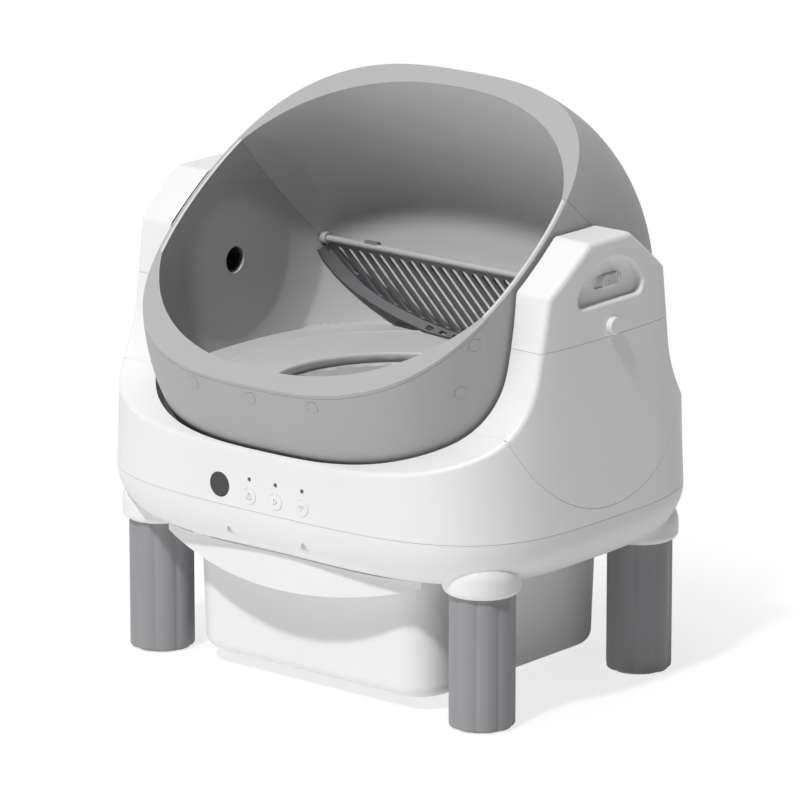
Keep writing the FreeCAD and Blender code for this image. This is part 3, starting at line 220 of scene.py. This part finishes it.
def plastic(name, colour, gloss=0.45, grain=0.00004, grain_size=0.0009, drift=0.03, bounce=1.0):
    """Moulded plastic: colour, gloss as roughness, and a grain of the given height and size.

    Roughness and colour drift by the given share with a slow noise over the part. bounce scales
    the colour for light that has already been scattered once. That is painted shade, which keeps
    a deep hollow darker than its colour alone would.
    """
    material = bpy.data.materials.new(name)
    material.use_nodes = True
    nodes, links = material.node_tree.nodes, material.node_tree.links
    shader = nodes["Principled BSDF"]
    place = nodes.new("ShaderNodeTexCoord")
    slow = nodes.new("ShaderNodeTexNoise")
    slow.inputs["Scale"].default_value = DRIFT_SCALE
    slow.inputs["Detail"].default_value = DRIFT_DETAIL
    fine = nodes.new("ShaderNodeTexNoise")
    fine.inputs["Scale"].default_value = 1.0 / grain_size
    fine.inputs["Detail"].default_value = GRAIN_DETAIL
    for noise in (slow, fine):
        links.new(place.outputs["Object"], noise.inputs["Vector"])
    tint = nodes.new("ShaderNodeMix")
    tint.data_type = "RGBA"
    tint.inputs["A"].default_value = (*[c * (1 - drift) for c in colour], 1)
    tint.inputs["B"].default_value = (*[min(c * (1 + drift), 1) for c in colour], 1)
    links.new(slow.outputs["Fac"], tint.inputs["Factor"])
    path = nodes.new("ShaderNodeLightPath")
    share = nodes.new("ShaderNodeMapRange")
    share.inputs["To Min"].default_value = 1.0
    share.inputs["To Max"].default_value = bounce
    links.new(path.outputs["Is Diffuse Ray"], share.inputs["Value"])
    shown = nodes.new("ShaderNodeVectorMath")
    shown.operation = "SCALE"
    links.new(tint.outputs["Result"], shown.inputs[0])
    links.new(share.outputs[0], shown.inputs["Scale"])
    links.new(shown.outputs[0], shader.inputs["Base Color"])
    rough = nodes.new("ShaderNodeMapRange")
    rough.inputs["To Min"].default_value = gloss - GLOSS_DRIFT
    rough.inputs["To Max"].default_value = gloss + GLOSS_DRIFT
    links.new(slow.outputs["Fac"], rough.inputs["Value"])
    links.new(rough.outputs[0], shader.inputs["Roughness"])
    bump = nodes.new("ShaderNodeBump")
    bump.inputs["Strength"].default_value = GRAIN_STRENGTH
    bump.inputs["Distance"].default_value = grain
    links.new(fine.outputs["Fac"], bump.inputs["Height"])
    links.new(bump.outputs["Normal"], shader.inputs["Normal"])
    return material


# %% [markdown]
# The finishes of this box: white housing, grey drum, darker grey legs and grille, and the plastics
# of what is hidden inside. The liner is a lighter grey than the drum. The hood's inside is a
# lighter grey still, which is painted light. The grille's bar is a lighter grey than its panel,
# which is painted light too. The drum's three greys pass on only a fifth to a quarter of their
# colour to light that has already been scattered, which is painted shade in the drum's hollow.
# The near black of the bearings is dark plastic of their own, and it also paints the axle's hole
# as dark as its shade. The steel parts use the same function with its shader set to metal.

# %% Finishes
METAL_GRAIN = 0.00001

finishes = {
    "white_plastic": plastic("white_plastic", (0.80, 0.80, 0.80), gloss=0.42),
    # The drum's greys pass on only a fifth to a quarter of their colour to scattered light:
    # painted shade in the drum's hollow.
    "drum_grey": plastic("drum_grey", (0.385, 0.386, 0.392), gloss=0.5, bounce=0.2),
    "liner_grey": plastic("liner_grey", (0.62, 0.622, 0.628), gloss=0.5, bounce=0.25),
    # The hood's inside: a lighter copy of the drum's grey, which is painted light.
    "hood_inside_painted_light": plastic("hood_inside_painted_light", (0.76, 0.762, 0.77), gloss=0.5, bounce=0.25),
    "mat_grey": plastic("mat_grey", (0.42, 0.42, 0.424), gloss=0.6),
    # The grille's bar: a lighter copy of the panel's grey, painted light for the light on its top.
    "bar_painted_light": plastic("bar_painted_light", (0.55, 0.552, 0.56), gloss=0.45),
    "grille_grey": plastic("grille_grey", (0.19, 0.192, 0.2), gloss=0.5),
    # Near black: the bearings' own dark plastic, which also paints the axle's hole as dark as its
    # shade.
    "bearing_plastic": plastic("bearing_plastic", (0.035, 0.035, 0.037), gloss=0.4),
    "gear_plastic": plastic("gear_plastic", (0.66, 0.64, 0.58), gloss=0.4),
    "black_plastic": plastic("black_plastic", (0.02, 0.02, 0.022), gloss=0.4),
    "leg_grey": plastic("leg_grey", (0.27, 0.272, 0.282), gloss=0.5),
    "rubber": plastic("rubber", (0.03, 0.03, 0.03), gloss=0.8),
    "window_dark": plastic("window_dark", (0.04, 0.04, 0.043), gloss=0.4),
    "light_guide": plastic("light_guide", (0.09, 0.09, 0.095), gloss=0.3),
    "board_green": plastic("board_green", (0.02, 0.14, 0.06), gloss=0.4),
    "symbol": plastic("symbol", (0.42, 0.42, 0.43), gloss=0.5),
}


def metal(name, colour, roughness):
    """Drawn or plated metal with a faint wander in its gloss."""
    material = plastic(name, colour, gloss=roughness, grain=METAL_GRAIN)
    material.node_tree.nodes["Principled BSDF"].inputs["Metallic"].default_value = 1.0
    return material


finishes["motor_steel"] = metal("motor_steel", (0.55, 0.55, 0.56), 0.35)
finishes["steel"] = metal("steel", (0.6, 0.6, 0.6), 0.3)
print(len(finishes), "finishes")

# %% [markdown]
# A CAD part comes as loose triangles, which would shade as flat facets. So each part is copied,
# the copy's corners are merged, and it is shaded smooth except across real edges. The copy then
# stands for the part, rides on its body and takes its finish.

# %% Dress the CAD parts
MERGE_WITHIN = 0.000002
EDGE_ANGLE = math.radians(24)
DRUM_MIDDLE = (0.0, 0.0, 0.368)
INWARDS_LEAST = 0.2

record = frame["record"]
body_of = {part: body for body, parts in record["behaviour"]["bodies"].items() for part in parts}
slot_of = {part["node"]: part["material_slot"] for part in record["subparts"]}


def smooth_merged(mesh, outwards=False):
    """Merge a mesh's corners and smooth it across every edge of less than EDGE_ANGLE.

    With outwards, its faces are also turned so that they all point out.
    """
    shape = bmesh.new()
    shape.from_mesh(mesh)
    bmesh.ops.remove_doubles(shape, verts=shape.verts, dist=MERGE_WITHIN)
    if outwards:
        bmesh.ops.recalc_face_normals(shape, faces=shape.faces)
    shape.to_mesh(mesh)
    shape.free()
    mesh.shade_smooth()
    mesh.set_sharp_from_angle(angle=EDGE_ANGLE)


def stand_for(name, piece):
    """The piece takes a CAD part's place, on its body and in its slot."""
    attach(piece, body_of[name])
    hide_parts(name)


def dress(name):
    """A smooth copy of a CAD part, in its finish, stands for it."""
    mesh = frame["nodes"][name].data.copy()
    smooth_merged(mesh)
    mesh.materials.clear()
    mesh.materials.append(finishes[slot_of[name]])
    piece = bpy.data.objects.new(name + "_skin", mesh)
    bpy.context.scene.collection.objects.link(piece)
    piece.modifiers.new("weighted", "WEIGHTED_NORMAL").keep_sharp = True
    stand_for(name, piece)
    return piece


def face_inwards(piece, middle, least):
    """Which faces look towards the point middle.

    A face counts if -n . r >= least, with n its normal and r the unit direction from middle to
    the face's own middle.
    """
    count = len(piece.data.polygons)
    place, normal = np.empty(3 * count), np.empty(3 * count)
    piece.data.polygons.foreach_get("center", place)
    piece.data.polygons.foreach_get("normal", normal)
    out = place.reshape(-1, 3) - middle
    out /= np.linalg.norm(out, axis=1)[:, None]
    return -np.einsum("ij,ij->i", normal.reshape(-1, 3), out) >= least


skins = {name: dress(name) for name in frame["nodes"] if name != "sieve_grille"}
hood = skins["drum_hood"]
# The hood's faces that look inwards take that lighter grey, which is painted light inside the
# hood.
painted_light_faces = face_inwards(hood, DRUM_MIDDLE, INWARDS_LEAST)
hood.data.materials.append(finishes["hood_inside_painted_light"])
hood.data.polygons.foreach_set("material_index", painted_light_faces.astype(np.int32))
print(int(painted_light_faces.sum()), "faces of the hood are its lining")
print(sum(len(piece.data.polygons) for piece in skins.values()), "triangles")

# %% [markdown]
# The sieve grille is one moulding with a bar along its upper edge: a flat panel with slanting
# slots, and round its curved edge a flange with square gaps, which lies along the drum. The CAD
# solid has them all, but the drum's wall cuts its flange off at both ends, so the grille is made
# anew from the same sizes. Its points are laid out flat first: x across, s down the panel from
# the bar, and m out of the panel. One function then tilts them into place.

# %% The grille's plane
BAR_PLACE = (0.1218, 0.370)
GRILLE_TILT = math.radians(61.5)


def grille_place(x, s, m):
    """Points of the grille: x across, s down the panel from the bar, m out of the panel.

    y = bar y + s cos t + m sin t and z = bar z - s sin t + m cos t, with t the panel's tilt.
    """
    x, s, m = np.broadcast_arrays(x, s, m)
    cos, sin = math.cos(GRILLE_TILT), math.sin(GRILLE_TILT)
    return np.stack((x, BAR_PLACE[0] + s * cos + m * sin, BAR_PLACE[1] - s * sin + m * cos), -1)


print("0.1 m down the panel is at", grille_place(0, 0.1, 0).round(4))

# %% [markdown]
# How far the grille reaches could be typed in as a list of points. Here it is found in the drum
# itself: a ray runs outwards from the bar's middle until it meets the drum's wall or the bed.
# Where the wall is farther off than the grille's own half ellipse, the ellipse holds.

# %% The grille's edge
GRILLE_HALF_WIDTH, GRILLE_DEPTH = 0.206, 0.104
WALL_GAP, SEAM_REACH = 0.0015, 0.2025
EDGE_POINTS, EDGE_FROM = 241, 0.001


def triangles_of(name):
    """A tree of one CAD part's triangles, to look for with rays."""
    mesh = frame["nodes"][name].data
    return BVHTree.FromPolygons([v.co for v in mesh.vertices], [p.vertices for p in mesh.polygons])


walls = [triangles_of("drum_liner"), triangles_of("drum_hood")]


def grille_reach(angle, m):
    """How far the grille reaches from the bar's middle at an angle in its plane and a level m.

    The smaller of an ellipse, r = 1 / sqrt((cos a / width)^2 + (sin a / depth)^2), and the
    distance to the wall less a gap. A ray that slips through the drum's seam gets a fixed reach.
    """
    across, down = math.cos(angle), math.sin(angle)
    start = Vector(grille_place(0, 0, m))
    ray = Vector(grille_place(across, down, m)) - start
    met = [wall.ray_cast(start, ray)[3] for wall in walls]
    free = min([distance for distance in met if distance is not None], default=SEAM_REACH)
    return min(free - WALL_GAP, 1 / math.hypot(across / GRILLE_HALF_WIDTH, down / GRILLE_DEPTH))


edge_angle = np.linspace(EDGE_FROM, np.pi - EDGE_FROM, EDGE_POINTS)
edge_reach = np.array([grille_reach(a, 0.0) for a in edge_angle])
edge = np.column_stack((edge_reach * np.cos(edge_angle), edge_reach * np.sin(edge_angle)))
print("the panel is", round(float(np.ptp(edge[:, 0])), 4), "m wide and",
      round(float(edge[:, 1].max()), 4), "m deep")

# %% [markdown]
# The slots all lean the same way and start on one line below the bar. Each runs down until it
# comes near the panel's edge, so they get shorter towards the sides, and both of its ends are
# half circles.

# %% Slots
SLOT_PITCH, SLOT_HALF, SLOT_TOP, SLOT_EDGE = 0.0134, 0.0037, 0.008, 0.009
SLOT_LEAN = math.tan(math.radians(19.8))
SLOT_STEP, LEAST_STEPS, END_POINTS = 0.0005, 8, 9
SLOTS_EACH_SIDE = 18


def slot_outline(middle_x):
    """The closed outline of the slot whose middle is at middle_x, or None if it has no room.

    Its line is x = middle_x + (s - depth / 2) * lean. It ends at the last step that still lies
    more than the slot's edge distance inside the panel's edge.
    """
    s = np.arange(SLOT_TOP + SLOT_HALF, GRILLE_DEPTH, SLOT_STEP)
    x = middle_x + (s - GRILLE_DEPTH / 2) * SLOT_LEAN
    room = np.interp(np.arctan2(s, x), edge_angle, edge_reach) - np.hypot(x, s)
    inside = room > SLOT_EDGE
    if not inside[0] or inside.argmin() < LEAST_STEPS:
        return None
    last = inside.argmin() - 1
    turn = np.linspace(0, np.pi, END_POINTS) - math.atan(SLOT_LEAN)
    low = np.column_stack((x[last] + SLOT_HALF * np.cos(turn), s[last] + SLOT_HALF * np.sin(turn)))
    top = np.column_stack((x[0] - SLOT_HALF * np.cos(turn), s[0] - SLOT_HALF * np.sin(turn)))
    return np.vstack((low, top))


slot_middles = (np.arange(-SLOTS_EACH_SIDE, SLOTS_EACH_SIDE) + 0.5) * SLOT_PITCH
slots = [slot for slot in map(slot_outline, slot_middles) if slot is not None]
print(len(slots), "slots")

# %% [markdown]
# A grid of points can't follow both the curved edge and the slots. Blender fills a flat closed
# curve, though, and leaves out what lies inside the next one. So one curve holds the edge and all
# the slots, and it gives the panel, its thickness and a small round on every edge.

# %% Panel
PANEL_THICKNESS, PANEL_ROUND = 0.003, 0.0004


def filled(outline, holes):
    """A flat plate with holes as (corners, faces), filled from a curve, in x, s and m."""
    curve = bpy.data.curves.new("panel", "CURVE")
    curve.dimensions, curve.fill_mode = "2D", "BOTH"
    curve.extrude = PANEL_THICKNESS / 2 - PANEL_ROUND
    curve.bevel_depth, curve.bevel_resolution, curve.offset = PANEL_ROUND, 1, -PANEL_ROUND
    for points in (outline, *holes):
        run = curve.splines.new("POLY")
        run.points.add(len(points) - 1)
        flat, weight = np.zeros(len(points)), np.ones(len(points))
        run.points.foreach_set("co", np.column_stack((points, flat, weight)).ravel())
        run.use_cyclic_u = True
    mesh = bpy.data.meshes.new_from_object(bpy.data.objects.new("panel", curve))
    corners = np.empty(3 * len(mesh.vertices))
    mesh.vertices.foreach_get("co", corners)
    return corners.reshape(-1, 3), [tuple(p.vertices) for p in mesh.polygons]


panel_corners, panel_faces = filled(edge, slots)
panel = grille_place(*panel_corners.T), panel_faces
print("the panel has", len(panel_faces), "faces")

# %% [markdown]
# The flange runs forward from the panel's edge. It is a grid of cells, angle by level, and each
# cell is a small block of the wall. Where a cell is left out, its neighbours close themselves with
# a side face, and that makes the square gaps without any cutting.

# %% Flange
FLANGE_WALL, FLANGE_LEVELS = 0.0025, (0.0015, -0.005, -0.011, -0.013)
FLANGE_FROM, FLANGE_POINTS = 0.03, 121
GAP_PITCH, GAP_HALF, GAPS_EACH_SIDE, GAP_ROW = 0.0156, 0.004, 6, 1


def band(angles, levels, keep):
    """The flange as (corners, faces): cells of a grid of angle and level, each a small block.

    A corner is at x = r cos a and s = r sin a, with r the grille's reach for the outer side and
    that less the wall for the inner one. A cell has a face on each side, and a face between the
    two wherever its neighbour is left out.
    """
    reach = np.array([[grille_reach(a, m) for m in levels] for a in angles])
    rings = []
    for radius in (reach, reach - FLANGE_WALL):
        x, s = radius * np.cos(angles)[:, None], radius * np.sin(angles)[:, None]
        rings.append(grille_place(x, s, np.array(levels)[None]).reshape(-1, 3))
    half = reach.size
    grid = np.arange(half).reshape(reach.shape)
    a, b, c, d = grid[:-1, :-1], grid[:-1, 1:], grid[1:, 1:], grid[1:, :-1]
    faces = [np.stack((a, b, c, d), -1)[keep], np.stack((a, d, c, b), -1)[keep] + half]
    full = np.pad(keep, 1)
    for u, v, neighbour in ((a, b, full[:-2, 1:-1]), (b, c, full[1:-1, 2:]),
                            (c, d, full[2:, 1:-1]), (d, a, full[1:-1, :-2])):
        faces.append(np.stack((v, u, u + half, v + half), -1)[keep & ~neighbour])
    return np.vstack(rings), np.vstack(faces)


gap_middles = np.arange(-GAPS_EACH_SIDE, GAPS_EACH_SIDE + 1) * GAP_PITCH
gap_sides = np.concatenate((gap_middles - GAP_HALF, gap_middles + GAP_HALF))
gap_angles = np.interp(-gap_sides, -edge[:, 0], edge_angle)
even_angles = np.linspace(FLANGE_FROM, np.pi - FLANGE_FROM, FLANGE_POINTS)
flange_angles = np.unique(np.concatenate((even_angles, gap_angles)))
cell_x = np.interp((flange_angles[1:] + flange_angles[:-1]) / 2, edge_angle, edge[:, 0])
keep = np.ones((len(flange_angles) - 1, len(FLANGE_LEVELS) - 1), bool)
keep[(np.abs(cell_x[:, None] - gap_middles) < GAP_HALF).any(1), GAP_ROW] = False
flange = band(flange_angles, FLANGE_LEVELS, keep)
print("the flange has", int(keep.sum()), "cells and", len(gap_middles), "gaps")

# %% [markdown]
# The bar, the bosses at its ends and the two clips behind it are round, so each is a profile
# turned about a line along X.

# %% Bar and clips
BAR_RADIUS, BOSS_RADIUS, BOSS_LENGTH, BOSS_ROUND = 0.0032, 0.0062, 0.007, 0.0005
CLIP_X, CLIP_HALF, CLIP_RADIUS = 0.138, 0.008, 0.0042
CLIP_AXIS = (BAR_PLACE[0] + 0.002, BAR_PLACE[1] + 0.0012)


def turned(profile, y, z, sides=32):
    """A profile of (x, radius) turned about the line along X at y and z, as (corners, faces)."""
    x, radius = np.array(profile).T[:, :, None]
    turn = np.linspace(0, 2 * np.pi, sides, endpoint=False)[None]
    corners = np.stack(
        np.broadcast_arrays(x, y + radius * np.cos(turn), z + radius * np.sin(turn)), -1
    )
    k, n = np.meshgrid(np.arange(len(profile) - 1), np.arange(sides), indexing="ij")
    a, b = k * sides + n, k * sides + (n + 1) % sides
    faces = np.stack((a, b, b + sides, a + sides), -1).reshape(-1, 4)
    return corners.reshape(-1, 3), faces.tolist()


bar_end = edge_reach[[0, -1]].min()
boss_start = bar_end - BOSS_LENGTH
right_half = [
    (boss_start, BAR_RADIUS),
    (boss_start, BOSS_RADIUS - BOSS_ROUND),
    (boss_start + BOSS_ROUND, BOSS_RADIUS),
    (bar_end - BOSS_ROUND, BOSS_RADIUS),
    (bar_end, BOSS_RADIUS - BOSS_ROUND),
    (bar_end, 0),
]
bar = turned([(-x, r) for x, r in right_half[::-1]] + right_half, *BAR_PLACE)
clips = [
    turned([(x - CLIP_HALF, 0), (x - CLIP_HALF, CLIP_RADIUS), (x + CLIP_HALF, CLIP_RADIUS),
            (x + CLIP_HALF, 0)], *CLIP_AXIS)
    for x in (-CLIP_X, CLIP_X)
]
print("the bar is", round(float(2 * bar_end), 4), "m long")

# %% [markdown]
# The parts become one piece with two finishes: the bar is a lighter grey than the panel, which is
# painted light for the light that falls on its top. The piece stands for the CAD grille and rides
# on the drum.

# %% Join the grille
GRILLE_FINISHES = ("grille_grey", "bar_painted_light")
GRILLE_PARTS = {"grille_grey": (panel, flange, *clips), "bar_painted_light": (bar,)}

corners, faces, finish_of = [], [], []
for number, finish in enumerate(GRILLE_FINISHES):
    for place, some_faces in GRILLE_PARTS[finish]:
        first = sum(len(part) for part in corners)
        corners.append(place)
        faces += [tuple(int(k) + first for k in face) for face in some_faces]
        finish_of += [number] * len(some_faces)
grille_mesh = bpy.data.meshes.new("sieve_grille")
grille_mesh.from_pydata(np.vstack(corners).tolist(), [], faces)
for finish in GRILLE_FINISHES:
    grille_mesh.materials.append(finishes[finish])
grille_mesh.polygons.foreach_set("material_index", finish_of)
smooth_merged(grille_mesh, outwards=True)
grille = bpy.data.objects.new("sieve_grille_skin", grille_mesh)
bpy.context.scene.collection.objects.link(grille)
stand_for("sieve_grille", grille)
print(grille.name, "has", len(grille_mesh.polygons), "faces")

# %% [markdown]
# Each button carries a plain symbol: a tray with an arrow, a triangle and the arcs of a radio
# signal. A symbol is drawn as strokes in millimetres from the button's middle, and each stroke
# becomes a flat bar with a rectangular section, sunk into the button so that only its face shows.

# %% Button symbols
MILLIMETRE = 0.001
STROKE_WIDTH, STROKE_PROUD, STROKE_DEPTH = 0.75, 0.04, 0.3
SECTION_DEPTHS = (-STROKE_PROUD, -STROKE_PROUD, STROKE_DEPTH, STROKE_DEPTH)
WAVE_MIDDLE, WAVE_RADII, WAVE_DOT = -2.2, (2.5, 4.6), 0.35


def arc(centre_v, radius, first, last, steps=12):
    """Points on a circle about (0, centre_v): u = r cos a, v = centre_v + r sin a, in degrees."""
    angle = np.radians(np.linspace(first, last, steps))
    return np.column_stack((radius * np.cos(angle), centre_v + radius * np.sin(angle)))


def stroke(points, width):
    """The left and right sides of a flat bar along points (u, v), half a width off each.

    At a corner between unit directions a and b the offset is w/2 * n / (n . na), where na is
    the normal of a and n the unit sum of both normals. The ends of an open stroke use their one
    direction, and those of a closed one are a corner like the others.
    """
    points = np.asarray(points, float)
    ahead = np.diff(points, axis=0)
    ahead /= np.linalg.norm(ahead, axis=1)[:, None]
    normal = np.column_stack((-ahead[:, 1], ahead[:, 0]))
    before = np.vstack((normal[:1], normal))
    after = np.vstack((normal, normal[-1:]))
    if np.allclose(points[0], points[-1]):
        before[0] = normal[-1]
        after[-1] = normal[0]
    mitre = before + after
    mitre /= np.linalg.norm(mitre, axis=1)[:, None]
    reach = width / 2 / np.einsum("ij,ij->i", mitre, before)
    return points + mitre * reach[:, None], points - mitre * reach[:, None]


def bar_along(points):
    """A stroke as (corners, faces) in millimetres: a section of four corners along its points.

    It is a grid of section corner by stroke point. The corners are left and right in front, then
    right and left behind, at x = u, z = v and y = the corner's depth. Its faces point outwards.
    """
    left, right = stroke(points, STROKE_WIDTH)
    flat = np.stack((left, right, right, left))
    depth = np.broadcast_to(np.array(SECTION_DEPTHS)[:, None], flat.shape[:2])
    corners = np.stack((flat[..., 0], depth, flat[..., 1]), -1)
    grid = np.arange(depth.size).reshape(depth.shape)
    beside = np.roll(grid, -1, axis=0)
    sides = np.stack((grid[:, :-1], beside[:, :-1], beside[:, 1:], grid[:, 1:]), -1)
    ends = np.stack((grid[::-1, 0], grid[:, -1]))
    return corners.reshape(-1, 3), np.vstack((sides.reshape(-1, 4), ends))


def symbol(name, strokes):
    """One mesh with a bar for each stroke, in front of the middle of the named button."""
    low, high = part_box(name)
    front = np.array(((low[0] + high[0]) / 2, low[1], (low[2] + high[2]) / 2))
    corners, faces = [], []
    for points in strokes:
        first = sum(len(part) for part in corners)
        place, some_faces = bar_along(points)
        corners.append(front + place * MILLIMETRE)
        faces.append(some_faces + first)
    mesh = bpy.data.meshes.new(name + "_symbol")
    mesh.from_pydata(np.vstack(corners).tolist(), [], np.vstack(faces).tolist())
    mesh.materials.append(finishes["symbol"])
    piece = bpy.data.objects.new(name + "_symbol", mesh)
    bpy.context.scene.collection.objects.link(piece)
    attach(piece, body_of[name])
    return piece


symbols = {
    "button_bin": [
        [(-2.9, 0.4), (-2.9, -3.0), (2.9, -3.0), (2.9, 0.4)],
        [(0.0, -1.0), (0.0, 3.0)],
        [(-1.6, 1.7), (0.0, 3.3), (1.6, 1.7)],
    ],
    "button_play": [[(-1.7, -2.7), (2.6, 0.0), (-1.7, 2.7), (-1.7, -2.7)]],
    "button_wireless": [
        *(arc(WAVE_MIDDLE, radius, 40, 140) for radius in WAVE_RADII),
        arc(WAVE_MIDDLE, WAVE_DOT, 0, 360),
    ],
}
marks = [symbol(name, strokes) for name, strokes in symbols.items()]
print([mark.name for mark in marks])
